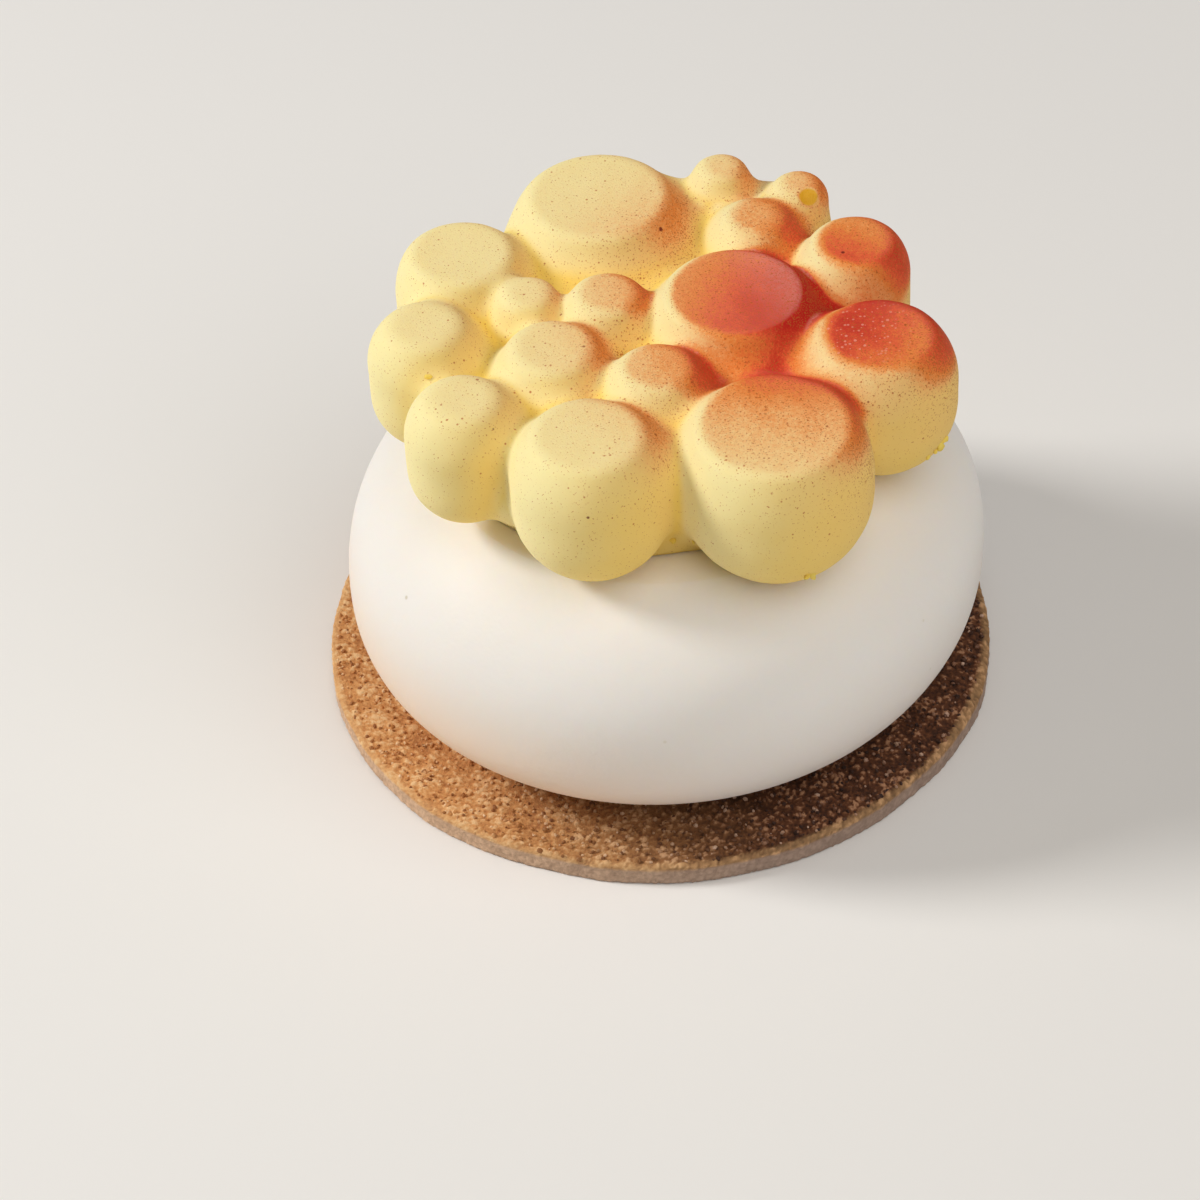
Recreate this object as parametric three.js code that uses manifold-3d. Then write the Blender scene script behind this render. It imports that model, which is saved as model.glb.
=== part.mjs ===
// Individual cheesecake: a thin round biscuit, a smooth white body that bulges like a river stone, and on
// top one moulded topper of bubbles that run into each other and end in flats at nearly the same height.
// Millimetres, +Z up. The origin is the centre of the biscuit's underside, which is what it rests on.
import * as THREE from "three";
import { mergeVertices } from "three/addons/utils/BufferGeometryUtils.js";
import Module from "manifold-3d";

const wasm = await Module();
wasm.setup();

const GAP = 0.3; // between pieces that lie on each other

// Biscuit: rolled thin, cut with a 70 mm ring and baked, so its outline and its face are a little uneven.
const BISCUIT_RADIUS = 35;
const BISCUIT_THICKNESS = 2.6;
const BISCUIT_EDGE = 0.45; // rounding of the top edge
const BISCUIT_SEGMENTS = 96;
const RIM_WIDTH = 13; // the part of its face that the body doesn't cover
const RIM_RINGS = 4;
const CRUMB_RELIEF = 0.14; // the crumbs reach this far below the face
const CRUMBS = {
  // two spiral waves cross each other: each has a count round the edge, and a turn with every mm outwards
  one: { count: 23, turn: 1.9 },
  other: { count: 31, turn: -2.7 },
};
const BISCUIT_BROWN = 0x9c6b42;
const OUTLINE_WAVES = [
  // waves round the edge, height of a wave as a share of the radius, start angle
  { count: 2, height: 0.0045, start: 0.7 },
  { count: 6, height: 0.0028, start: 2.1 },
  { count: 10, height: 0.002, start: 4.0 },
  { count: 22, height: 0.0012, start: 1.3 },
];

// White body: a rounded puck that is widest a little below half its height.
const BODY_CENTRE = [1.0, -1.1];
const BODY_RADIUS = 33;
const BODY_HEIGHT = 27.8;
const WAIST_HEIGHT = 12.7;
const LOWER_CURVE = 16.1; // the flank below the waist would reach down this far before it closed
const UPPER_CURVE = 18.7; // and the flank above it would reach up this far
const CURVE_POWER = 2.4; // 2 is an ellipse, more is squarer
const WAIST_LEAN = 1.8; // the waist lies this much higher on one side, and lower on the other
const LEAN_ANGLE = -0.42;
const BODY_SEGMENTS = 64;
const FLANK_STEPS = 9;
const CREAM_WHITE = 0xf3eee6;

// Topper: the bubbles stand in one mass, and are cut off flat by the plane that it lies on.
const TOPPER_BASE = BISCUIT_THICKNESS + GAP + BODY_HEIGHT + GAP;
const BELLY_HEIGHT = 38.5; // below this every bubble closes as a ball does
const RIM_ROUNDING = 0.7; // round the edge of each flat top
const FILLET_BASE = 0.7; // a bubble runs into the others with a fillet of this
const FILLET_SHARE = 0.29; // plus this share of its radius
const FILLET_AT_FOOT = 0.6; // share of the fillet that is left at the foot of the topper
const MASS = { x: -0.8, y: 0.6, radius: 21.5, footRadius: 20.4, top: 43, rounding: 4 }; // joins the bubbles
const BUBBLES = [
  // centre x and y, radius, radius of the flat top, height of the flat top
  { x: -4.3, y: 17.6, radius: 9.8, flat: 7.2, top: 47 },
  { x: 11.9, y: -18.7, radius: 9.6, flat: 7.6, top: 46.2 },
  { x: 9.0, y: 0.9, radius: 8.7, flat: 6.9, top: 47 },
  { x: -5.9, y: -19.8, radius: 7.9, flat: 5.4, top: 47 },
  { x: 22.8, y: -6.3, radius: 7.8, flat: 5.5, top: 46.6 },
  { x: -18.3, y: 9.2, radius: 6.9, flat: 5.2, top: 47 },
  { x: 12.5, y: 17.6, radius: 7.0, flat: 4.5, top: 44.6 },
  { x: 3.6, y: 20.2, radius: 5.0, flat: 3.2, top: 44.4 },
  { x: -9.2, y: -6.1, radius: 6.0, flat: 4.1, top: 46.8 },
  { x: -18.1, y: -13.5, radius: 5.9, flat: 3.4, top: 47 },
  { x: -21.9, y: -2.0, radius: 5.9, flat: 3.6, top: 47 },
  { x: 21.3, y: 8.3, radius: 5.7, flat: 4.0, top: 47 },
  { x: 0.9, y: -9.9, radius: 5.0, flat: 3.6, top: 46.8 },
  { x: 11.6, y: 13.4, radius: 4.7, flat: 2.9, top: 46.8 },
  { x: -3.7, y: 2.0, radius: 4.5, flat: 3.2, top: 46.8 },
  { x: -11.6, y: 3.0, radius: 3.4, flat: 2.4, top: 46.6 },
  { x: 8.4, y: 21.8, radius: 3.2, flat: 2.1, top: 47 },
  { x: 16.2, y: 18.6, radius: 3.2, flat: 2.0, top: 46.8 },
  { x: -12.6, y: -15.5, radius: 3.9, flat: 2.6, top: 39.6 }, // low web between two in front
];

const VELVET_YELLOW = 0xf0d68a;

// Grid on which the topper's surface is found.
const GRID_STEP = 1.5;
const GRID_LOW = [-30.6, -31, TOPPER_BASE - 4];
const GRID_HIGH = [33, 30, 49];
const PULL_STEPS = 4; // that bring a vertex onto the surface
const PROBE = 0.01; // over which the slope of the distance is taken
const LEAST_SLOPE = 0.5; // taken where the distance hardly changes
const SPREAD_ROUNDS = 4;
const WELD_DISTANCE = 1e-4; // vertices nearer than this are one

// Profile points (radius, height) turned once round the Z axis.
function turned(profile, segments) {
  const outline = profile.map(([radius, height]) => new THREE.Vector2(radius, height));
  return new THREE.LatheGeometry(outline, segments).rotateX(Math.PI / 2);
}

// Moves every vertex of a geometry by a function of its position.
function reshape(geometry, move) {
  const position = geometry.getAttribute("position");
  const point = new THREE.Vector3();
  for (let i = 0; i < position.count; i++) {
    move(point.fromBufferAttribute(position, i));
    position.setXYZ(i, point.x, point.y, point.z);
  }
  return geometry;
}

// The biscuit: a thin disc with a worn top edge, a wavy outline and low bumps on its bare rim.
function biscuit() {
  const edge = BISCUIT_RADIUS - BISCUIT_EDGE;
  const cornerCut = BISCUIT_EDGE * (1 - Math.SQRT1_2);
  const profile = [
    [0, 0],
    [BISCUIT_RADIUS - BISCUIT_EDGE / 2, 0],
    [BISCUIT_RADIUS, BISCUIT_EDGE],
    [BISCUIT_RADIUS, BISCUIT_THICKNESS - BISCUIT_EDGE],
    [BISCUIT_RADIUS - cornerCut, BISCUIT_THICKNESS - cornerCut],
  ];
  for (let ring = 0; ring <= RIM_RINGS; ring++) {
    profile.push([edge - (RIM_WIDTH * ring) / RIM_RINGS, BISCUIT_THICKNESS]);
  }
  profile.push([0, BISCUIT_THICKNESS]);
  return reshape(turned(profile, BISCUIT_SEGMENTS), (point) => {
    const angle = Math.atan2(point.y, point.x);
    const reach = Math.hypot(point.x, point.y);
    let share = 1;
    for (const { count, height, start } of OUTLINE_WAVES) share += height * Math.cos(count * angle + start);
    const bare = reach > edge - RIM_WIDTH + GAP && point.z > BISCUIT_EDGE;
    const wave = ({ count, turn }) => Math.sin(count * angle + turn * reach);
    if (bare) point.z -= CRUMB_RELIEF * (1 + wave(CRUMBS.one) * wave(CRUMBS.other)) * 0.5;
    point.x *= share;
    point.y *= share;
  });
}

// The body: the flank follows one curve below the waist and another above it, both cut off flat.
function body() {
  const flankRadius = (rise, curve) => BODY_RADIUS * (1 - (rise / curve) ** CURVE_POWER) ** (1 / CURVE_POWER);
  const profile = [[0, 0]];
  for (let i = 0; i <= FLANK_STEPS; i++) {
    const drop = WAIST_HEIGHT * Math.cos(((i / FLANK_STEPS) * Math.PI) / 2);
    profile.push([flankRadius(drop, LOWER_CURVE), WAIST_HEIGHT - drop]);
  }
  for (let i = 1; i <= FLANK_STEPS; i++) {
    const rise = (BODY_HEIGHT - WAIST_HEIGHT) * Math.sin(((i / FLANK_STEPS) * Math.PI) / 2);
    profile.push([flankRadius(rise, UPPER_CURVE), WAIST_HEIGHT + rise]);
  }
  profile.push([0, BODY_HEIGHT]);
  return reshape(turned(profile, BODY_SEGMENTS), (point) => {
    const across = (point.x * Math.cos(LEAN_ANGLE) + point.y * Math.sin(LEAN_ANGLE)) / BODY_RADIUS;
    point.z += WAIST_LEAN * across * Math.sin((Math.PI * point.z) / BODY_HEIGHT); // both ends stay flat
  });
}

// The lower of two distances, blended over a width where they are alike, which makes a fillet.
function blendedMin(a, b, width) {
  const mix = THREE.MathUtils.clamp(0.5 + (0.5 * (b - a)) / width, 0, 1);
  return b + (a - b) * mix - width * mix * (1 - mix);
}

// Distance to one bubble: a ball drawn down to the belly height, cut off flat on top with a soft edge.
function bubbleDistance(point, { x, y, radius, flat, top }) {
  const upper = top - Math.sqrt(radius ** 2 - flat ** 2);
  const axis = THREE.MathUtils.clamp(point.z, Math.min(upper, BELLY_HEIGHT), upper);
  const side = Math.hypot(point.x - x, point.y - y, point.z - axis) - radius;
  return -blendedMin(-side, top - point.z, RIM_ROUNDING);
}

// How far a point has risen from the foot of the topper to the floor of the hollows, from 0 to 1.
function risenShare(point) {
  return THREE.MathUtils.clamp((point.z - TOPPER_BASE) / (MASS.top - TOPPER_BASE), 0, 1);
}

// Distance to the mass that joins the bubbles: a round plate, narrower at its foot, with a well rounded
// upper edge. Its face is the floor of the hollows.
function massDistance(point) {
  const radius = THREE.MathUtils.lerp(MASS.footRadius, MASS.radius, risenShare(point));
  const out = Math.hypot(point.x - MASS.x, point.y - MASS.y) - (radius - MASS.rounding);
  const up = point.z - (MASS.top - MASS.rounding);
  return Math.hypot(Math.max(out, 0), Math.max(up, 0)) + Math.min(Math.max(out, up), 0) - MASS.rounding;
}

// Distance to the whole topper. The fillets grow from its foot up to the floor of the hollows.
function topperDistance(point) {
  const fullness = THREE.MathUtils.lerp(FILLET_AT_FOOT, 1, risenShare(point));
  let distance = massDistance(point);
  for (const bubble of BUBBLES) {
    const fillet = fullness * (FILLET_BASE + FILLET_SHARE * bubble.radius);
    distance = blendedMin(distance, bubbleDistance(point, bubble), fillet);
  }
  return Math.max(distance, GRID_LOW[2] + GRID_STEP - point.z);
}

// Steps a point onto the surface along the steepest slope.
function pullOntoSurface(point, distance) {
  const slope = new THREE.Vector3();
  for (let i = 0; i < PULL_STEPS; i++) {
    const here = distance(point);
    for (const axis of ["x", "y", "z"]) {
      const beside = point.clone();
      beside[axis] += PROBE;
      slope[axis] = (distance(beside) - here) / PROBE;
    }
    point.addScaledVector(slope, -here / Math.max(slope.lengthSq(), LEAST_SLOPE ** 2));
  }
}

// The inside corners of a cell, numbered by the group in which they hang together along its edges.
function cornerGroups(isInside) {
  const group = isInside.map((inside, corner) => (inside ? corner : -1));
  const longestWay = isInside.length / 2; // steps along the edges of the cell
  for (let pass = 0; pass < longestWay; pass++) {
    for (let corner = 0; corner < isInside.length; corner++) {
      for (const bit of [1, 2, 4]) {
        const next = corner ^ bit;
        if (isInside[corner] && isInside[next]) group[corner] = Math.min(group[corner], group[next]);
      }
    }
  }
  return group;
}

// Closed surface where a distance is zero. Each grid cell that it crosses gets a vertex for each group of
// inside corners, and each grid edge that it cuts gets a square, of two triangles, between four of them.
// The vertices are then spread evenly along the surface.
function surfaceOf(distance) {
  const count = GRID_LOW.map((low, axis) => Math.ceil((GRID_HIGH[axis] - low) / GRID_STEP) + 1);
  const stride = [1, count[0], count[0] * count[1]];
  const gridLow = new THREE.Vector3(...GRID_LOW);
  const place = (i, j, k) => new THREE.Vector3(i, j, k).multiplyScalar(GRID_STEP).add(gridLow);
  const everyCell = (visit) => {
    for (let k = 0; k < count[2] - 1; k++) {
      for (let j = 0; j < count[1] - 1; j++) {
        for (let i = 0; i < count[0] - 1; i++) visit(i, j, k, i + j * stride[1] + k * stride[2]);
      }
    }
  };
  const inside = new Array(count[0] * count[1] * count[2]).fill(false);
  everyCell((i, j, k, index) => {
    inside[index] = distance(place(i, j, k)) < 0;
  });

  const points = [];
  const vertexOf = new Map();
  everyCell((i, j, k, index) => {
    const corners = Array.from({ length: 8 }, (_, corner) => [corner & 1, (corner >> 1) & 1, corner >> 2]);
    const isInside = corners.map(([x, y, z]) => inside[index + x + y * stride[1] + z * stride[2]]);
    if (isInside.every((value) => value === isInside[0])) return;
    const group = cornerGroups(isInside);
    for (const one of new Set(group.filter((value) => value >= 0))) {
      const middle = new THREE.Vector3();
      let cuts = 0;
      corners.forEach(([x, y, z], corner) => {
        for (const [axis, bit] of [[0, 1], [1, 2], [2, 4]]) {
          if (group[corner] !== one || isInside[corner ^ bit]) continue;
          const half = [x, y, z];
          half[axis] = 0.5;
          middle.add(place(i + half[0], j + half[1], k + half[2]));
          cuts += 1;
        }
      });
      group.forEach((value, corner) => value === one && vertexOf.set(8 * index + corner, points.length));
      points.push(middle.divideScalar(cuts));
    }
  });

  const squares = [];
  everyCell((i, j, k, index) => {
    for (let axis = 0; axis < 3; axis++) {
      const far = index + stride[axis];
      if (inside[index] === inside[far]) continue;
      const [side, back] = [(axis + 1) % 3, (axis + 2) % 3];
      const end = inside[far] ? 1 << axis : 0;
      const square = [[0, 0], [1, 0], [1, 1], [0, 1]].map(([s, b]) => {
        const cell = index - s * stride[side] - b * stride[back];
        return vertexOf.get(8 * cell + end + s * (1 << side) + b * (1 << back));
      });
      squares.push(inside[index] ? square : square.reverse());
    }
  });

  const neighbours = points.map(() => new Set());
  for (const square of squares) {
    square.forEach((vertex, i) => {
      neighbours[vertex].add(square[(i + 1) % 4]);
      neighbours[square[(i + 1) % 4]].add(vertex);
    });
  }
  for (const point of points) pullOntoSurface(point, distance);
  for (let round = 0; round < SPREAD_ROUNDS; round++) {
    const middles = neighbours.map((around) => {
      const middle = new THREE.Vector3();
      for (const vertex of around) middle.add(points[vertex]);
      return middle.divideScalar(around.size);
    });
    points.forEach((point, vertex) => {
      point.lerp(middles[vertex], 0.5);
      pullOntoSurface(point, distance);
    });
  }

  const geometry = new THREE.BufferGeometry().setFromPoints(points);
  geometry.setIndex(squares.flatMap(([a, b, c, d]) => [a, b, c, a, c, d]));
  return geometry;
}

function solidFrom(geometry) {
  const bare = geometry.clone().deleteAttribute("normal").deleteAttribute("uv");
  const merged = mergeVertices(bare, WELD_DISTANCE);
  return new wasm.Manifold(
    new wasm.Mesh({
      numProp: 3,
      vertProperties: merged.getAttribute("position").array,
      triVerts: new Uint32Array(merged.index.array),
    }),
  );
}

function geometryFrom(solid) {
  const mesh = solid.getMesh();
  const geometry = new THREE.BufferGeometry();
  geometry.setAttribute("position", new THREE.BufferAttribute(mesh.vertProperties, 3));
  geometry.setIndex(new THREE.BufferAttribute(mesh.triVerts, 1));
  geometry.computeVertexNormals();
  return geometry;
}

function topper() {
  const size = 4 * BODY_RADIUS;
  const below = new THREE.BoxGeometry(size, size, size).translate(0, 0, TOPPER_BASE - size / 2);
  return geometryFrom(solidFrom(surfaceOf(topperDistance)).subtract(solidFrom(below)));
}

function piece(name, geometry, colour, roughness) {
  const material = new THREE.MeshStandardMaterial({ color: colour, roughness, metalness: 0 });
  const mesh = new THREE.Mesh(geometry, material);
  mesh.name = name;
  return mesh;
}

const cheesecake = new THREE.Group();

const biscuitBase = piece("biscuit_base", biscuit(), BISCUIT_BROWN, 0.95);
cheesecake.add(biscuitBase);

const whiteBody = piece("white_body", body(), CREAM_WHITE, 0.5);
whiteBody.position.set(...BODY_CENTRE, BISCUIT_THICKNESS + GAP);
cheesecake.add(whiteBody);

const bubbleTopper = piece("bubble_topper", topper(), VELVET_YELLOW, 0.85);
cheesecake.add(bubbleTopper);

export default cheesecake;
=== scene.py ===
"""An individual moulded cheesecake: biscuit, white body and a sprayed topper of bubbles."""

import math
import random

import bmesh
import bpy
import numpy as np
from mathutils import Euler, Matrix, Vector, noise


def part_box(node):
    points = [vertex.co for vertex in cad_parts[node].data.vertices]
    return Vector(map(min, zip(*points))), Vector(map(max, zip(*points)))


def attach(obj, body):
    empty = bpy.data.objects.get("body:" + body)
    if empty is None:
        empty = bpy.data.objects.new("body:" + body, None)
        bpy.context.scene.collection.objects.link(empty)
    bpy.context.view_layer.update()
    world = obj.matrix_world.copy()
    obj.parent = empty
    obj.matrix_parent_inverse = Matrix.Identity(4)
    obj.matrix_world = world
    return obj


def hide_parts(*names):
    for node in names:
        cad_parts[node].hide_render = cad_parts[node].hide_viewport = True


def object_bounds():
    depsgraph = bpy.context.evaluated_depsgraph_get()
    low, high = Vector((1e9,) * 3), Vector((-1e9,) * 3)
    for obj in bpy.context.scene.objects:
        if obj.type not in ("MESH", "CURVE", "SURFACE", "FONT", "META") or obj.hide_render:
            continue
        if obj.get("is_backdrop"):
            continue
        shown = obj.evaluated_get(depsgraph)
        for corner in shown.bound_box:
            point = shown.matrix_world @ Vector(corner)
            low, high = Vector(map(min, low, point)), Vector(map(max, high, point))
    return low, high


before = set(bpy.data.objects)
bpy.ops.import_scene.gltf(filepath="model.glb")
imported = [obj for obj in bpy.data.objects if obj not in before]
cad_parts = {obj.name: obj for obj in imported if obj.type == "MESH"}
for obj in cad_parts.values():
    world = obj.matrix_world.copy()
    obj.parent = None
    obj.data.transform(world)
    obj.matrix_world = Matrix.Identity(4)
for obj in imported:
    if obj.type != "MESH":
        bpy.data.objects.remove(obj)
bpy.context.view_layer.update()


# ---- Biscuit ---------------------------------------------------------------------------------------
# A thin round of short biscuit dough, rolled out, cut with a 70 mm ring and baked dark. Its face is open
# and crumbly, its cut edge a little ragged and paler along the rim, partly a drier edge and partly a painted
# highlight. Its colour runs from golden on the left to dark brown on the right, which is painted shade where
# the body keeps the light off it. The body is set down on it.

MM = 0.001
BISCUIT_RADIUS = 34.97
BISCUIT_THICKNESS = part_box("biscuit_base")[1][2] / MM
BISCUIT_EDGE = 0.45  # rounding of the top edge
BARE_FROM = 19.0  # the body hides the face nearer to the middle than this
BISCUIT_STEPS = 900  # round the disc
OUTLINE_WAVES = ((2, 0.0045, 0.7), (6, 0.0028, 2.1), (10, 0.002, 4.0), (22, 0.0012, 1.3))
CRUMB_SIZE = 0.8
CRUMB_DEPTH = 0.36
PAINTED_SHADE_FROM, PAINTED_SHADE_TO = -28.0, 14.0  # painted shade: golden to dark brown across X, where the body shades the crust
CRUMB_SEED = 4
noise.seed_set(CRUMB_SEED)  # without it every run would place the crumbs a little differently


def turned(profile, steps, cuts=(), sectors=20):
    """A bmesh of a profile of (radius, height) points in mm, spun round the Z axis sector by sector.

    cuts gives, for each edge of the profile, how many extra points it gets.
    """
    bm = bmesh.new()
    points = [bm.verts.new((radius * MM, 0.0, height * MM)) for radius, height in profile]
    edges = [bm.edges.new(pair) for pair in zip(points, points[1:])]
    for edge, extra in zip(edges, cuts):
        if extra:
            bmesh.ops.subdivide_edges(bm, edges=[edge], cuts=extra)
    bmesh.ops.spin(
        bm,
        geom=bm.verts[:] + bm.edges[:],
        cent=(0, 0, 0),
        axis=(0, 0, 1),
        angle=math.tau / sectors,
        steps=steps // sectors,
    )
    sector = bpy.data.meshes.new("sector")
    bm.to_mesh(sector)
    bm.clear()
    for _ in range(sectors):
        sector.transform(Matrix.Rotation(math.tau / sectors, 4, "Z"))
        bm.from_mesh(sector)
    bpy.data.meshes.remove(sector)
    bmesh.ops.remove_doubles(bm, verts=bm.verts, dist=1e-6)
    bmesh.ops.recalc_face_normals(bm, faces=bm.faces)
    return bm


def finished(name, bm, node, smooth=True):
    """The bmesh as a piece of that name, on the cake's body, in place of that node's plain solid, which is
    hidden.
    """
    mesh = bpy.data.meshes.new(name)
    bm.to_mesh(mesh)
    bm.free()
    mesh.polygons.foreach_set("use_smooth", [smooth] * len(mesh.polygons))
    piece = bpy.data.objects.new(name, mesh)
    bpy.context.collection.objects.link(piece)
    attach(piece, "root")
    if node:
        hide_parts(node)
    return piece


def crumb_pit(x, y, z):
    """How deep the open crumb is at a point in mm, from 0 on a crumb's top to 1 between crumbs."""
    here = Vector((x, y, z)) / CRUMB_SIZE
    near = noise.voronoi(here + 0.4 * noise.noise_vector(here * 0.9))[0]
    crack = 1.0 - min((near[1] - near[0]) * 2.2, 1.0)
    coarse = 0.5 + 0.5 * noise.noise(here * 0.4)
    fine = 0.5 + 0.5 * noise.noise(here * 1.7)
    return min(max(0.55 * crack + 0.5 * coarse + 0.35 * fine - 0.35, 0.0), 1.0)


edge_low = BISCUIT_THICKNESS - BISCUIT_EDGE
bevel = BISCUIT_EDGE * (1 - math.sqrt(0.5))
biscuit_bm = turned(
    profile=(
        (0, 0),
        (BARE_FROM, 0),
        (BISCUIT_RADIUS - 0.12, 0),
        (BISCUIT_RADIUS, 0.2),
        (BISCUIT_RADIUS, edge_low),
        (BISCUIT_RADIUS - bevel, BISCUIT_THICKNESS - bevel),
        (BISCUIT_RADIUS - BISCUIT_EDGE, BISCUIT_THICKNESS),
        (BARE_FROM, BISCUIT_THICKNESS),
        (0, BISCUIT_THICKNESS),
    ),
    steps=BISCUIT_STEPS,
    cuts=(3, 3, 0, 6, 0, 0, 71, 3),
)
pit = biscuit_bm.verts.layers.float.new("pit")
for vert in biscuit_bm.verts:
    x, y, z = vert.co / MM
    reach = math.hypot(x, y)
    angle = math.atan2(y, x)
    depth = crumb_pit(x, y, z)
    vert[pit] = depth
    share = 1 + sum(height * math.cos(count * angle + start) for count, height, start in OUTLINE_WAVES)
    if reach > BISCUIT_RADIUS - BISCUIT_EDGE - 0.05:
        share -= 0.5 * CRUMB_DEPTH * depth / BISCUIT_RADIUS
    if z > edge_low:
        z -= CRUMB_DEPTH * depth
    elif z < 0.01 and reach > 1.0:
        z += 0.5 * CRUMB_DEPTH * depth
    vert.co = Vector((x * share, y * share, z)) * MM
biscuit = finished("biscuit", biscuit_bm, "biscuit_base")


def srgb(red, green, blue):
    """A colour given from 0 to 255 as it looks, turned into the light values that shaders use."""
    tones = [value / 255 for value in (red, green, blue)]
    return [t / 12.92 if t <= 0.04045 else ((t + 0.055) / 1.055) ** 2.4 for t in tones] + [1.0]


class Value:
    """An output of a shader node. Arithmetic on it adds the Math nodes."""

    def __init__(self, finish, socket):
        self.finish = finish
        self.socket = socket

    def also(self, output):
        return Value(self.finish, self.socket.node.outputs[output])

    def math(self, operation, *inputs):
        return self.finish.node("ShaderNodeMath", {"operation": operation}, inputs)

    def __add__(self, other):
        return self.math("ADD", self, other)

    def __sub__(self, other):
        return self.math("SUBTRACT", self, other)

    def __rsub__(self, other):
        return self.math("SUBTRACT", other, self)

    def __mul__(self, other):
        return self.math("MULTIPLY", self, other)

    def __truediv__(self, other):
        return self.math("DIVIDE", self, other)

    def __rpow__(self, other):
        return self.math("POWER", other, self)

    def __lt__(self, other):
        return self.math("LESS_THAN", self, other)

    def clipped(self):
        return self.finish.node("ShaderNodeClamp", {}, [self, 0.0, 1.0])

    def between(self, low, high):
        """Rises smoothly from 0 where this is low to 1 where it is high; low may be the larger."""
        return self.finish.node(
            "ShaderNodeMapRange", {"interpolation_type": "SMOOTHSTEP"}, [self, low, high, 0.0, 1.0]
        )

    __radd__ = __add__
    __rmul__ = __mul__


class Finish:
    """A procedural material, built up from nodes on a piece's own coordinates in mm."""

    def __init__(self, name):
        self.material = bpy.data.materials.new(name)
        self.material.use_nodes = True
        self.tree = self.material.node_tree
        self.shader = self.tree.nodes["Principled BSDF"]
        place = self.node("ShaderNodeTexCoord", {}, {}, "Object")
        self.place = self.node("ShaderNodeVectorMath", {"operation": "SCALE"}, {0: place, "Scale": 1 / MM})
        self.normal = self.node("ShaderNodeNewGeometry", {}, {}, "Normal")

    def node(self, kind, settings, inputs, output=0):
        made = self.tree.nodes.new(kind)
        for name, setting in settings.items():
            if name == "stops":
                stops = made.color_ramp.elements
                while len(stops) < len(setting):
                    stops.new(0.5)
                for stop, (position, colour) in zip(stops, setting):
                    stop.position = position
                    stop.color = colour
            else:
                setattr(made, name, setting)
        pairs = inputs.items() if isinstance(inputs, dict) else enumerate(inputs)
        for key, value in pairs:
            if isinstance(value, Value):
                self.tree.links.new(value.socket, made.inputs[key])
            else:
                made.inputs[key].default_value = value
        return Value(self, made.outputs[output])

    def noise(self, size, detail=2.0, shift=0.0):
        """Soft noise from 0 to 1 whose blobs are about size mm."""
        place = self.node("ShaderNodeVectorMath", {"operation": "ADD"}, [self.place, (shift, shift, shift)])
        return self.node("ShaderNodeTexNoise", {}, {"Vector": place, "Scale": 1 / size, "Detail": detail})

    def cells(self, size):
        """Random cells about size mm across, as the distance to the nearest middle."""
        return self.node("ShaderNodeTexVoronoi", {}, {"Vector": self.place, "Scale": 1 / size}, "Distance")

    def dots(self, spacing, radius, share, jitter=0.0):
        """Round dots in about that share of cells that are spacing mm apart."""
        cell = self.cells(spacing)
        chance = self.node("ShaderNodeSeparateColor", {}, [cell.also("Color")])
        size = radius / spacing * (0.5 + chance.also("Green"))
        return cell.between(size * 1.0, size * 0.6) * (chance < share)

    def mix(self, colour, other, factor):
        return self.node("ShaderNodeMix", {"data_type": "RGBA"}, {0: factor, 6: colour, 7: other}, 2)

    def ramp(self, value, *stops):
        return self.node("ShaderNodeValToRGB", {"stops": stops}, [value])

    def facing(self, direction):
        """How squarely the surface faces a direction, from -1 to 1."""
        unit = Vector(direction).normalized()
        return self.node("ShaderNodeVectorMath", {"operation": "DOT_PRODUCT"}, [self.normal, unit], "Value")

    def away(self, point):
        """Distance in mm from a point."""
        return self.node("ShaderNodeVectorMath", {"operation": "DISTANCE"}, [self.place, point], "Value")

    def attribute(self, name):
        return self.node("ShaderNodeAttribute", {"attribute_name": name}, {}, "Fac")

    def height(self, axis):
        return self.node("ShaderNodeSeparateXYZ", {}, [self.place], axis)

    def bump(self, value, depth):
        """Relief of that depth in mm."""
        height = value * (depth * MM)
        relief = self.node("ShaderNodeBump", {}, {"Height": height, "Distance": 1.0, "Strength": 1.0})
        self.tree.links.new(relief.socket, self.shader.inputs["Normal"])

    def surface(self, **sockets):
        """Sets the shader's own sockets, named with _ for spaces, to values, colours or node outputs."""
        for name, value in sockets.items():
            socket = self.shader.inputs[name.replace("_", " ")]
            if isinstance(value, Value):
                self.tree.links.new(value.socket, socket)
            else:
                socket.default_value = value

    def on(self, *pieces):
        for piece in pieces:
            piece.data.materials.clear()
            piece.data.materials.append(self.material)


baked = Finish("baked_biscuit")
pits = baked.attribute("pit")
grit = baked.noise(0.34, 3.0)
blotches = baked.noise(3.2, 2.0, 7.0)
# The crust is darker in the pits between crumbs, which is painted shade in those hollows, and mottled at
# random by grit and blotches.
tone = (1.0 - pits * 0.85 + (grit - 0.5) * 0.8 + (blotches - 0.5) * 0.35).clipped()
# Two copies of the crust, painted light and shade: golden where the light falls on it, dark brown where the
# body shades it.
golden = baked.ramp(
    tone,
    (0.0, srgb(132, 80, 46)),
    (0.35, srgb(190, 128, 76)),
    (0.65, srgb(222, 162, 100)),
    (1.0, srgb(248, 208, 154)),
)
brown = baked.ramp(
    tone,
    (0.0, srgb(30, 12, 5)),
    (0.45, srgb(68, 36, 17)),
    (0.75, srgb(106, 62, 34)),
    (1.0, srgb(184, 136, 102)),
)
# Painted shade: the crust and its cut side turn from the golden copy to the dark brown one across X.
painted_crust_shade = (baked.height("X") + (blotches - 0.5) * 9.0).between(PAINTED_SHADE_FROM, PAINTED_SHADE_TO)
crust = baked.mix(golden, brown, painted_crust_shade)
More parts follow.
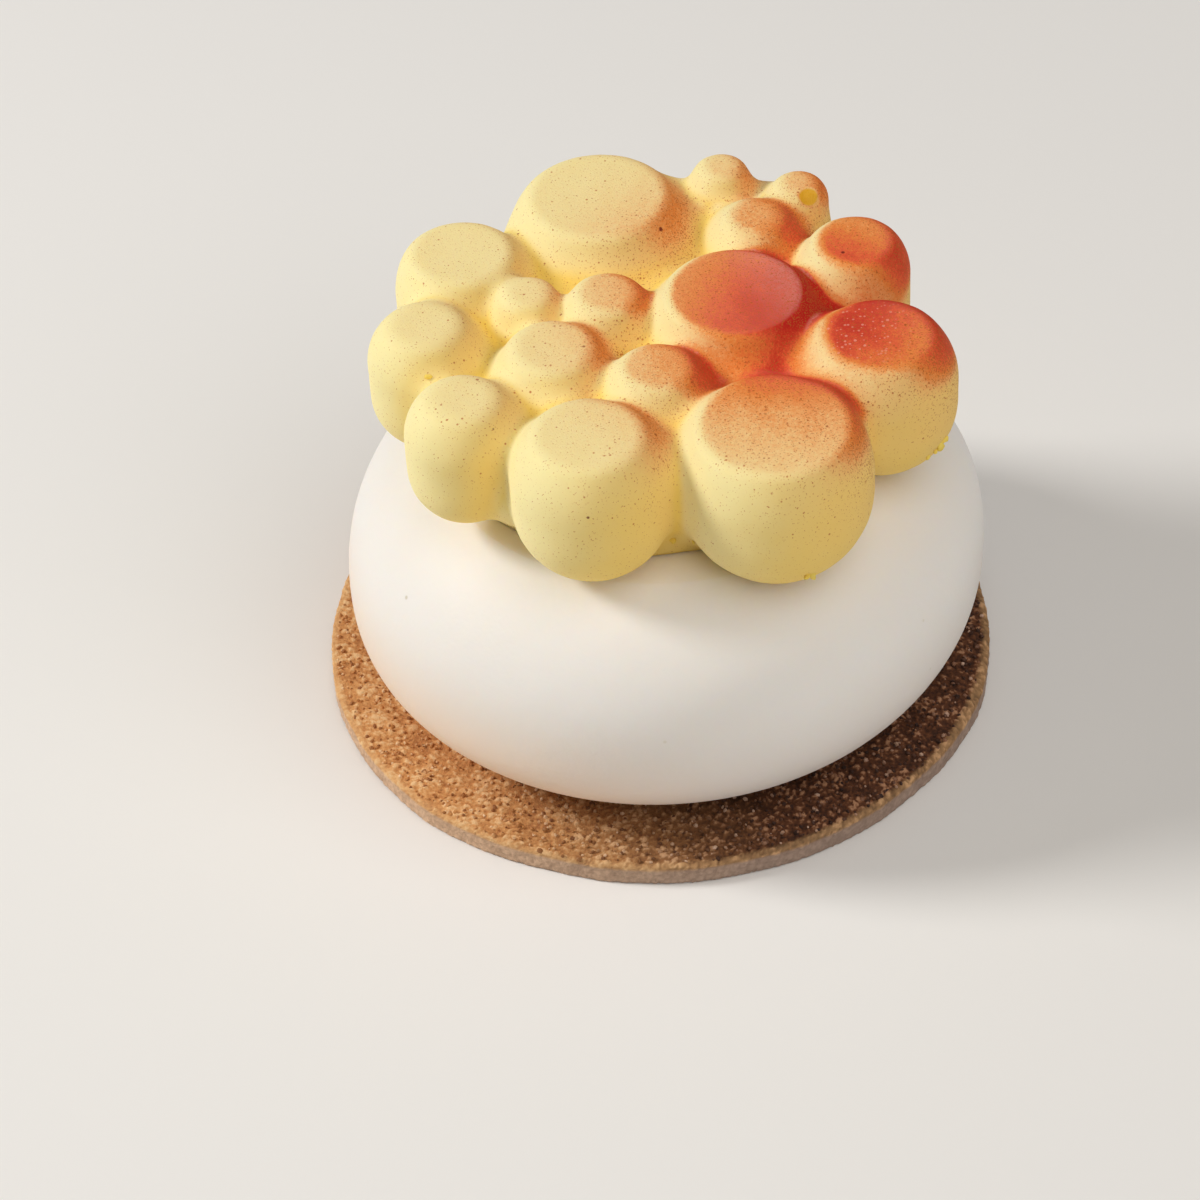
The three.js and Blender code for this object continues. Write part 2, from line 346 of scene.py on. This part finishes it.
# Paler along the top of the rim: partly a drier edge, partly a painted highlight along it.
dry_rim_and_highlight = baked.away((0.0, 0.0, BISCUIT_THICKNESS)).between(33.9, 34.6) * (1.1 - pits).clipped()
crust = baked.mix(crust, srgb(228, 184, 130), dry_rim_and_highlight * 0.5)
side = baked.height("Z").between(BISCUIT_THICKNESS - 0.4, BISCUIT_THICKNESS - 0.9)
cut_side = baked.mix(srgb(234, 196, 162), srgb(174, 150, 136), painted_crust_shade)
# The cut side too is darker in its pits, painted shade, and mottled by grit.
cut_side = baked.mix(cut_side, srgb(84, 60, 46), (pits * 1.1 + (grit - 0.5) * 1.6).clipped() * 0.42)
crust = baked.mix(crust, cut_side, side * 0.9)
baked.surface(Base_Color=crust, Roughness=0.82, Specular_IOR_Level=0.4)
baked.bump(grit + baked.noise(0.16, 2.0) * 0.5, 0.14)
baked.on(biscuit)


# ---- Crumbs and sugar on the biscuit ------------------------------------------------------------------
# Loose crumbs and coarse sugar grains that were baked into the face of the biscuit. They sit half sunk in
# it, paler than the crust, and catch the light.

random.seed(11)
GRAIN_BATCHES = 45
BATCH = 100
GRAINS_FROM, GRAINS_TO = 21.0, 34.4  # distances from the middle between which the grains lie
SUNK = 0.12  # a grain's middle lies this far below the face
grain_bm = bmesh.new()
for _ in range(GRAIN_BATCHES):
    batch_bm = bmesh.new()
    tone = batch_bm.verts.layers.float.new("tone")
    for _ in range(BATCH):
        reach = math.sqrt(random.uniform(GRAINS_FROM**2, GRAINS_TO**2))
        angle = random.uniform(0, math.tau)
        size = random.uniform(0.1, 0.28)
        place = Vector((reach * math.cos(angle), reach * math.sin(angle), BISCUIT_THICKNESS - SUNK))
        shape = Matrix.Diagonal((*[size * random.uniform(0.6, 1.3) for _ in range(3)], 1.0))
        turn = Euler([random.uniform(0, math.tau) for _ in range(3)]).to_matrix().to_4x4()
        made = bmesh.ops.create_icosphere(
            batch_bm,
            subdivisions=1,
            radius=MM,
            matrix=Matrix.Translation(place * MM) @ turn @ shape,
        )
        shade = random.random()
        for vert in made["verts"]:
            vert[tone] = shade
    batch = bpy.data.meshes.new("batch")
    batch_bm.to_mesh(batch)
    batch_bm.free()
    grain_bm.from_mesh(batch)
    bpy.data.meshes.remove(batch)
grains = finished("biscuit_grains", grain_bm, None, smooth=False)

grainy = Finish("biscuit_grain")
grain_tone = grainy.attribute("tone")
# Painted light and shade, as on the crust: golden grains where the light falls, dark brown grains where the
# body shades them.
golden = grainy.ramp(
    grain_tone,
    (0.0, srgb(150, 92, 46)),
    (0.5, srgb(212, 148, 84)),
    (1.0, srgb(248, 214, 168)),
)
brown = grainy.ramp(
    grain_tone,
    (0.0, srgb(48, 24, 14)),
    (0.6, srgb(88, 52, 32)),
    (0.85, srgb(150, 106, 80)),
    (1.0, srgb(210, 174, 150)),
)
painted_grain_shade = grainy.height("X").between(PAINTED_SHADE_FROM, PAINTED_SHADE_TO)
grainy.surface(Base_Color=grainy.mix(golden, brown, painted_grain_shade), Roughness=0.72 - grain_tone * 0.35)
grainy.on(grains)


# ---- White body --------------------------------------------------------------------------------------
# Set cream cheese mousse, turned out frozen from a rounded silicone mould, so it is smooth and closed with
# hardly a mark. It stands on its small flat base and bulges out past it, and its top is flat.

BODY_CENTRE = Vector((1.0, -1.1, 0.0))
BODY_RADIUS = 33.0
BODY_FOOT, BODY_TOP = (corner[2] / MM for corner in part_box("white_body"))
WAIST_HEIGHT = 12.7  # above the foot
LOWER_CURVE = 16.1
UPPER_CURVE = 18.7
CURVE_POWER = 2.4
WAIST_LEAN = 1.8
LEAN_ANGLE = -0.42
FLAT_RADIUS = 14.0  # of the ring that divides the flat foot and the flat top
RIPPLE_DEPTH = 0.07
BODY_STEPS = 192
FLANK_STEPS = 44
PALE_SPOTS = ((-25.1, -16.8, 24.1), (6.2, -26.2, 28.1), (27.1, -21.4, 15.3))
WRINKLED_PLACE = (-7.0, -33.0, 13.0)


def flank(rise, curve):
    """Radius of the flank at a rise above or below the waist."""
    return BODY_RADIUS * (1 - (rise / curve) ** CURVE_POWER) ** (1 / CURVE_POWER)


body_height = BODY_TOP - BODY_FOOT
outline = [(0, 0), (FLAT_RADIUS, 0)]
for i in range(FLANK_STEPS + 1):
    drop = WAIST_HEIGHT * math.cos(0.5 * math.pi * i / FLANK_STEPS)
    outline.append((flank(drop, LOWER_CURVE), WAIST_HEIGHT - drop))
for i in range(1, FLANK_STEPS + 1):
    rise = (body_height - WAIST_HEIGHT) * math.sin(0.5 * math.pi * i / FLANK_STEPS)
    outline.append((flank(rise, UPPER_CURVE), WAIST_HEIGHT + rise))
outline += [(FLAT_RADIUS, body_height), (0, body_height)]
body_bm = turned(outline, BODY_STEPS)
for vert in body_bm.verts:
    x, y, z = vert.co / MM
    across = (x * math.cos(LEAN_ANGLE) + y * math.sin(LEAN_ANGLE)) / BODY_RADIUS
    z += WAIST_LEAN * across * math.sin(math.pi * z / body_height)
    ripple = 0.5 + 0.5 * noise.noise(Vector((x, y, z * 2.0)) / 7.0)
    ripple += 0.25 + 0.25 * noise.noise(Vector((x, y, z)) / 2.6)
    share = 1 - RIPPLE_DEPTH * ripple / BODY_RADIUS
    vert.co = (Vector((x * share, y * share, z + BODY_FOOT)) + BODY_CENTRE) * MM
body = finished("cream_body", body_bm, "white_body")

cream = Finish("set_cream")
warmth = cream.noise(14.0, 2.0)
specks = cream.dots(2.6, 0.16, 0.05)
ivory = cream.mix(srgb(245, 242, 238), srgb(243, 238, 231), warmth)
ivory = cream.mix(ivory, srgb(226, 219, 200), specks * 0.5)
# Painted light and shade low on the body: greyer and darker towards the bottom on the right, and a warm
# painted glow on the left of light thrown up from the golden biscuit.
low = cream.height("Z").between(24.0, 5.0)
painted_bounce_and_shade = cream.mix(srgb(216, 204, 196), srgb(242, 202, 162), cream.height("X").between(12.0, -18.0))
ivory = cream.mix(ivory, painted_bounce_and_shade, low * 0.85)
for place in PALE_SPOTS:
    ivory = cream.mix(ivory, srgb(206, 198, 176), cream.away(place).between(0.3, 0.12) * 0.7)
cream.surface(
    Base_Color=ivory,
    Roughness=0.5 + cream.noise(3.0) * 0.12,
    Specular_IOR_Level=0.4,
    Subsurface_Weight=0.35,
    Subsurface_Radius=(1.0, 0.75, 0.5),
    Subsurface_Scale=3.0 * MM,
)
wrinkled = 0.8 + cream.away(WRINKLED_PLACE).between(15.0, 5.0) * 0.9
cream.bump(cream.noise(1.6, 3.0) * wrinkled + cream.noise(0.5) * 0.25, 0.06)
cream.on(body)


# ---- Topper ------------------------------------------------------------------------------------------
# One casting of mousse from a mould of bubbles that run into each other, all cut off flat by the mould's
# floor. Turned out frozen, it was sprayed with yellow velvet, and then with orange and red from one side.

TOPPER_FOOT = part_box("bubble_topper")[0][2] / MM
BELLY_HEIGHT = 38.5  # below this every bubble closes as a ball does
RIM_ROUNDING = 0.7
FILLET_BASE = 0.7
FILLET_SHARE = 0.29
FILLET_AT_FOOT = 0.6  # share of the fillet that is left at the foot
MASS_CENTRE = (-0.8, 0.6)
MASS_RADIUS = 21.5
MASS_FOOT_RADIUS = 20.4
MASS_TOP = 43.0
MASS_ROUNDING = 4.0
BUBBLES = (
    # x, y, radius, radius of the flat top, height of the flat top
    (-4.3, 17.6, 9.8, 7.2, 47.0),
    (11.9, -18.7, 9.6, 7.6, 46.2),
    (9.0, 0.9, 8.7, 6.9, 47.0),
    (-5.9, -19.8, 7.9, 5.4, 47.0),
    (22.8, -6.3, 7.8, 5.5, 46.6),
    (-18.3, 9.2, 6.9, 5.2, 47.0),
    (12.5, 17.6, 7.0, 4.5, 44.6),
    (3.6, 20.2, 5.0, 3.2, 44.4),
    (-9.2, -6.1, 6.0, 4.1, 46.8),
    (-18.1, -13.5, 5.9, 3.4, 47.0),
    (-21.9, -2.0, 5.9, 3.6, 47.0),
    (21.3, 8.3, 5.7, 4.0, 47.0),
    (0.9, -9.9, 5.0, 3.6, 46.8),
    (11.6, 13.4, 4.7, 2.9, 46.8),
    (-3.7, 2.0, 4.5, 3.2, 46.8),
    (-11.6, 3.0, 3.4, 2.4, 46.6),
    (8.4, 21.8, 3.2, 2.1, 47.0),
    (16.2, 18.6, 3.2, 2.0, 46.8),
    (-12.6, -15.5, 3.9, 2.6, 39.6),  # low web between two in front
)
PROBE = 0.01  # over which the slope of the distance is taken
SETTLING_ROUNDS = 6
PULLED_ONLY = 2  # of these rounds at the end don't even out the places first
LEAST_STEEPNESS = 0.25
UNEVENNESS = 0.08
CHIP = (17.31, 16.39, 46.65)  # where the spray has flaked off a small bubble
CHIP_RADIUS = 1.15
CHIP_DEPTH = 0.22


def blended_min(a, b, width):
    """The lower of two distances, blended over a width where they are alike, which makes a fillet."""
    share = np.clip(0.5 + 0.5 * (b - a) / width, 0, 1)
    return b + (a - b) * share - width * share * (1 - share)


def ball_distance(places, bubble):
    """Distance in mm of each place from a bubble before its top is cut off flat."""
    x, y, z = places.T
    bx, by, radius, flat, top = bubble
    upper = top - math.sqrt(radius**2 - flat**2)
    axis = np.clip(z, min(upper, BELLY_HEIGHT), upper)
    return np.sqrt((x - bx) ** 2 + (y - by) ** 2 + (z - axis) ** 2) - radius


def topper_distance(places):
    """Distance in mm of each place from the topper's surface, less than 0 inside."""
    x, y, z = places.T
    mass_radius = np.interp(z, (TOPPER_FOOT, MASS_TOP), (MASS_FOOT_RADIUS, MASS_RADIUS))
    out = np.hypot(x - MASS_CENTRE[0], y - MASS_CENTRE[1]) - (mass_radius - MASS_ROUNDING)
    up = z - (MASS_TOP - MASS_ROUNDING)
    outside = np.hypot(np.maximum(out, 0), np.maximum(up, 0))
    whole = outside + np.minimum(np.maximum(out, up), 0) - MASS_ROUNDING
    fullness = np.interp(z, (TOPPER_FOOT, MASS_TOP), (FILLET_AT_FOOT, 1.0))
    for bubble in BUBBLES:
        _, _, radius, _, top = bubble
        ball = -blended_min(-ball_distance(places, bubble), top - z, RIM_ROUNDING)
        whole = blended_min(whole, ball, fullness * (FILLET_BASE + FILLET_SHARE * radius))
    return whole


def hollow_depth(places):
    """How far in mm each place on the topper lies from every bubble, which tells the hollows between them."""
    above = [places[:, 2] - bubble[4] for bubble in BUBBLES]
    outside = [ball_distance(places, bubble) for bubble in BUBBLES]
    return np.maximum(np.maximum(outside, above).min(axis=0), 0)


def surface_slope(places):
    """Direction of steepest rise of the distance at each place."""
    here = topper_distance(places)
    return np.stack([(topper_distance(places + PROBE * axis) - here) / PROBE for axis in np.eye(3)], axis=1)


# The plain solid's mesh is made finer, evened out, and pulled onto the exact surface of the bubbles.
solid = bpy.data.objects["bubble_topper"]
topper_bm = bmesh.new()
topper_bm.from_mesh(solid.data)
topper_bm.transform(solid.matrix_world)
bmesh.ops.remove_doubles(topper_bm, verts=topper_bm.verts, dist=0.001 * MM)
bmesh.ops.subdivide_edges(topper_bm, edges=topper_bm.edges, cuts=3, use_grid_fill=True)
places = np.array([vert.co for vert in topper_bm.verts]) / MM
one, other = np.array([[vert.index for vert in edge.verts] for edge in topper_bm.edges]).T
count = len(places)
neighbours = np.bincount(one, minlength=count) + np.bincount(other, minlength=count)
bare = places[:, 2] > TOPPER_FOOT + 0.02


def evened(places):
    """The places, each moved half way to the middle of its neighbours."""
    total = np.stack(
        [
            np.bincount(one, places[other, axis], minlength=count)
            + np.bincount(other, places[one, axis], minlength=count)
            for axis in range(3)
        ],
        axis=1,
    )
    return 0.5 * places + 0.5 * total / neighbours[:, None]


for turn in range(SETTLING_ROUNDS):
    settled = evened(places) if turn < SETTLING_ROUNDS - PULLED_ONLY else places.copy()
    slope = surface_slope(settled)
    steep = np.maximum((slope**2).sum(axis=1), LEAST_STEEPNESS)
    settled -= slope * (topper_distance(settled) / steep)[:, None]
    places[bare] = settled[bare]
for vert, place in zip(topper_bm.verts, places):
    vert.co = place * MM
topper_bm.normal_update()
across = topper_bm.verts.layers.float.new("across")
hollow = topper_bm.verts.layers.float.new("hollow")
for vert, depth in zip(topper_bm.verts, hollow_depth(places)):
    vert[hollow] = depth
    x, y, z = vert.co / MM
    nearest = min(BUBBLES, key=lambda bubble: math.hypot(x - bubble[0], y - bubble[1]) - bubble[3])
    vert[across] = (0.9 * (x - nearest[0]) + 0.43 * (y - nearest[1])) / nearest[3]
    if z > TOPPER_FOOT + 0.2:
        uneven = 0.5 + 0.5 * noise.noise(Vector((x, y, z)) / 3.1)
        uneven += 0.2 + 0.2 * noise.noise(Vector((x, y, z)) / 1.1)
        from_chip = math.dist((x, y, z), CHIP)
        uneven += CHIP_DEPTH / UNEVENNESS * (1.0 - min(from_chip / CHIP_RADIUS, 1.0) ** 4)
        vert.co -= vert.normal * (UNEVENNESS * uneven * MM)
topper = finished("sprayed_topper", topper_bm, "bubble_topper")

SPRAY_SPOT = (17.0, -1.6, 46.5)  # where the orange and red spray was aimed
SPRAY_DRIFT = (10.0, -7.5, 42.0)  # the hollow that its mist drifted into
FROZEN_TOP = (9.0, 0.9, 47.0)  # a flat that was too cold for the spray to spread on, frosted; frost and painted sheen are strongest here
SUGARED_TOP = (21.0, -5.5, 46.6)
velvet = Finish("velvet_spray")
mist = velvet.noise(0.4, 3.0)
grain = velvet.noise(0.15, 2.0, 5.0)
drift = velvet.noise(3.4, 2.0, 3.0)
height = velvet.height("Z")
# Painted reflected light: the hollows between bubbles, from their bellies up, are a brighter, deeper golden,
# as light bounces between the bubbles.
painted_hollow_bounce = velvet.attribute("hollow").between(0.05, 1.1) * height.between(32.0, 38.0)
# Painted light and shade: the yellow is paler on faces towards the window light and a deeper golden on faces
# turned away from it, mottled at random by drift.
velvet_painted_shade = velvet.facing((0.75, -0.25, -0.35)).between(-0.7, 0.75)
yellow = velvet.mix(srgb(252, 237, 174), srgb(248, 212, 116), (velvet_painted_shade + (drift - 0.5) * 0.12).clipped())
yellow = velvet.mix(yellow, srgb(248, 210, 70), painted_hollow_bounce * 0.8)

squarely = velvet.facing((0.84, 0.36, 0.4)) / 0.4
sides = squarely.between(0.25, 2.5) * 2.3
around = velvet.facing((0.72, -0.15, 0.68)).between(0.0, 0.72)
from_spot = velvet.away(SPRAY_SPOT)
core = from_spot.between(16.0, 4.0) * 1.2 + from_spot.between(9.5, 4.0) * 1.3
amount = core + from_spot.between(32.0, 10.0) * 0.62 + 0.08
near = from_spot.between(17.0, 9.0)
flow = amount * sides * (height + near * 3.5).between(42.5, 46.6)
flow = flow + (from_spot.between(16.0, 6.0) * 0.52 + from_spot.between(36.0, 12.0) * 0.15 + 0.03) * around
flow = flow + velvet.away(SPRAY_DRIFT).between(11.5, 3.0) * 0.46
flow = flow * (0.1 + 0.9 * mist + 0.9 * grain)
spray = 1.0 - math.e ** (flow * -1.0)
sprayed = velvet.ramp(
    spray,
    (0.0, srgb(250, 208, 142)),
    (0.35, srgb(244, 174, 106)),
    (0.58, srgb(236, 138, 60)),
    (0.8, srgb(230, 92, 50)),
    (1.0, srgb(196, 20, 10)),
)
coloured = velvet.mix(yellow, sprayed, (spray * 2.4).clipped())

# On level flats where the spray lies: pale frosty grain, and a painted sheen along each flat's far rim.
level = velvet.facing((0.0, 0.0, 1.0)).between(0.9, 0.99)
far_rim = velvet.attribute("across").between(-0.1, 1.0)
frozen = 0.25 + 0.75 * velvet.away(FROZEN_TOP).between(10.5, 8.0)
frost_and_sheen = level * spray.between(0.15, 0.7) * (0.3 + 0.7 * far_rim) * frozen * (mist + grain - 0.35).clipped()
coloured = velvet.mix(coloured, srgb(238, 168, 152), frost_and_sheen * 0.6)

upward = velvet.facing((0.6, -0.2, 0.75)).between(0.0, 0.9) * height.between(33.0, 45.0)
crowd = 0.25 + 0.75 * from_spot.between(32.0, 14.0)
dusted = crowd * upward * 0.08 + squarely.between(0.8, 2.2) * height.between(36.0, 44.0) * crowd * 0.1
peppered = (velvet.noise(0.17, 1.0, 9.0) + dusted).between(0.68, 0.75)
coloured = velvet.mix(coloured, srgb(190, 98, 38), peppered * 0.75)
specks = velvet.dots(0.5, 0.1, (upward * 0.75 + squarely.between(1.0, 2.3) * 0.6) * crowd + 0.01)
large_specks = velvet.dots(2.1, 0.16, 0.03 + upward * 0.2)
coloured = velvet.mix(coloured, srgb(186, 92, 34), specks * 0.75)
coloured = velvet.mix(coloured, srgb(164, 74, 24), large_specks * 0.8)
sugar_dots = velvet.dots(0.42, 0.14, 0.5) * level * velvet.away(SUGARED_TOP).between(7.0, 2.5)
coloured = velvet.mix(coloured, srgb(246, 180, 158), sugar_dots * 0.5)

chipped = velvet.away(CHIP).between(CHIP_RADIUS * 1.05, CHIP_RADIUS * 0.85)
coloured = velvet.mix(coloured, srgb(232, 174, 24), chipped * 0.9)

DARK_SPOTS = (
    # x, y, z, radius in mm
    (2.0, 12.67, 46.05, 0.3),
    (20.01, 6.3, 47.0, 0.26),
    (25.39, 4.62, 45.23, 0.28),
    (-14.96, -17.07, 45.79, 0.2),
    (-6.24, -27.48, 43.1, 0.2),
)
for x, y, z, radius in DARK_SPOTS:
    spot = velvet.away((x, y, z)).between(radius, radius * 0.5)
    coloured = velvet.mix(coloured, srgb(112, 26, 14), spot * 0.9)

velvet.surface(
    Base_Color=coloured,
    Roughness=0.8,
    Specular_IOR_Level=0.3,
    Subsurface_Weight=0.2,
    Subsurface_Radius=(1.0, 0.8, 0.35),
    Subsurface_Scale=2.0 * MM,
)
velvet.bump(grain * (0.25 + 0.75 * upward) + velvet.noise(0.9, 2.0) * 0.4, 0.04)
velvet.on(topper)


# ---- Velvet flakes -----------------------------------------------------------------------------------
# Ragged bits of the yellow velvet that were torn off where the topper left its mould and cling to its
# lower edge, and one sharp ridge between two bubbles.

FLAKES = (
    # x, y, z near the topper's surface, size in mm
    (28.5, -11.0, 35.8, 0.6),
    (29.0, -10.5, 36.2, 0.5),
    (28.0, -11.3, 35.4, 0.45),
    (27.3, -11.8, 35.1, 0.3),
    (15.2, -26.3, 33.2, 0.6),
    (14.5, -26.9, 33.5, 0.4),
    (2.0, -21.4, 32.6, 0.45),
    (3.2, -21.0, 32.2, 0.3),
    (-13.7, -16.5, 32.2, 0.35),
    (-21.7, -7.8, 44.9, 0.4),
)
RAG_SIZE = 1 / 2.3  # mm between the rags of a flake
random.seed(5)
flake_bm = bmesh.new()
for x, y, z, size in FLAKES:
    nearest = np.linalg.norm(places - (x, y, z), axis=1).argmin()
    stretch = [size * random.uniform(low, high) for low, high in ((0.9, 1.4), (0.5, 0.8), (0.3, 0.5))]
    turn = Euler([random.uniform(0, math.tau) for _ in range(3)]).to_matrix().to_4x4()
    placed = Matrix.Translation(Vector(places[nearest]) * MM) @ turn @ Matrix.Diagonal((*stretch, 1.0))
    made = bmesh.ops.create_icosphere(flake_bm, subdivisions=2, radius=MM, matrix=placed)
    for vert in made["verts"]:
        ragged = noise.noise_vector(vert.co / (MM * RAG_SIZE))
        vert.co += ragged * (0.35 * size * MM)
flakes = finished("velvet_flakes", flake_bm, None)

flaky = Finish("flaked_velvet")
flaky.surface(
    Base_Color=flaky.mix(srgb(248, 226, 110), srgb(238, 204, 92), flaky.noise(0.8)),
    Roughness=0.8,
    Specular_IOR_Level=0.3,
)
flaky.on(flakes)


# ---- Stage -------------------------------------------------------------------------------------------
# A plain pale table, a window light from the left that casts the shadows, a large soft light above the
# front, a bright room round it, and the camera at the height and distance from which the cake was seen.

floor_bm = bmesh.new()
bmesh.ops.create_grid(floor_bm, x_segments=1, y_segments=1, size=3.0)
floor_mesh = bpy.data.meshes.new("floor")
floor_bm.to_mesh(floor_mesh)
floor_bm.free()
floor = bpy.data.objects.new("floor", floor_mesh)
bpy.context.collection.objects.link(floor)
floor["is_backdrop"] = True
pale = Finish("pale_table")
pale.surface(Base_Color=srgb(240, 239, 237), Roughness=0.7)
pale.on(floor)


def lamp(name, direction, distance, size, energy, colour):
    """A round soft light that looks at the cake from that direction."""
    data = bpy.data.lights.new(name, "AREA")
    data.shape = "DISK"
    data.size = size
    data.energy = energy
    data.color = colour
    light = bpy.data.objects.new(name, data)
    light.location = Vector(direction).normalized() * distance
    light.rotation_euler = Vector(direction).to_track_quat("Z", "Y").to_euler()
    bpy.context.collection.objects.link(light)


lamp("window", (-0.794, 0.09, 0.595), 0.9, 0.24, 4.95, (1.0, 0.98, 0.95))
lamp("softbox", (0.38, -0.4, 0.85), 1.0, 1.1, 5.2, (1.0, 0.965, 0.92))

room = bpy.data.worlds.new("room")
room.use_nodes = True
room.node_tree.nodes["Background"].inputs["Color"].default_value = (1.0, 0.96, 0.92, 1.0)
room.node_tree.nodes["Background"].inputs["Strength"].default_value = 0.18
bpy.context.scene.world = room
bpy.context.scene.view_settings.view_transform = "Standard"

CAMERA_HEIGHT_ANGLE = math.radians(43.57)
CAMERA_DISTANCE = 0.420
CAMERA_ROLL = math.radians(2.57)
FRAME_PIXELS = 1200
FOCAL_PIXELS = 3929
ORIGIN_PIXEL = (660.0, 645.2)  # where the middle of the biscuit's underside appears
camera_data = bpy.data.cameras.new("camera")
camera_data.sensor_width = 36.0
camera_data.lens = 36.0 * FOCAL_PIXELS / FRAME_PIXELS
camera = bpy.data.objects.new("camera", camera_data)
off_centre = Vector(
    (
        (ORIGIN_PIXEL[0] - FRAME_PIXELS / 2) / FOCAL_PIXELS,
        -(ORIGIN_PIXEL[1] - FRAME_PIXELS / 2) / FOCAL_PIXELS,
        -1.0,
    )
)
towards_origin = Matrix.Rotation(math.pi / 2 - CAMERA_HEIGHT_ANGLE, 3, "X")
rolled = Matrix.Rotation(-CAMERA_ROLL, 3, "Z")
turned_aside = off_centre.rotation_difference(Vector((0, 0, -1))).to_matrix()
camera.matrix_world = (
    Matrix.Translation(
        CAMERA_DISTANCE * Vector((0, -math.cos(CAMERA_HEIGHT_ANGLE), math.sin(CAMERA_HEIGHT_ANGLE)))
    )
    @ (towards_origin @ rolled @ turned_aside).to_4x4()
)
bpy.context.collection.objects.link(camera)
bpy.context.scene.camera = camera


# ---- Size --------------------------------------------------------------------------------------------
# The box of the finished cake.

low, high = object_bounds()
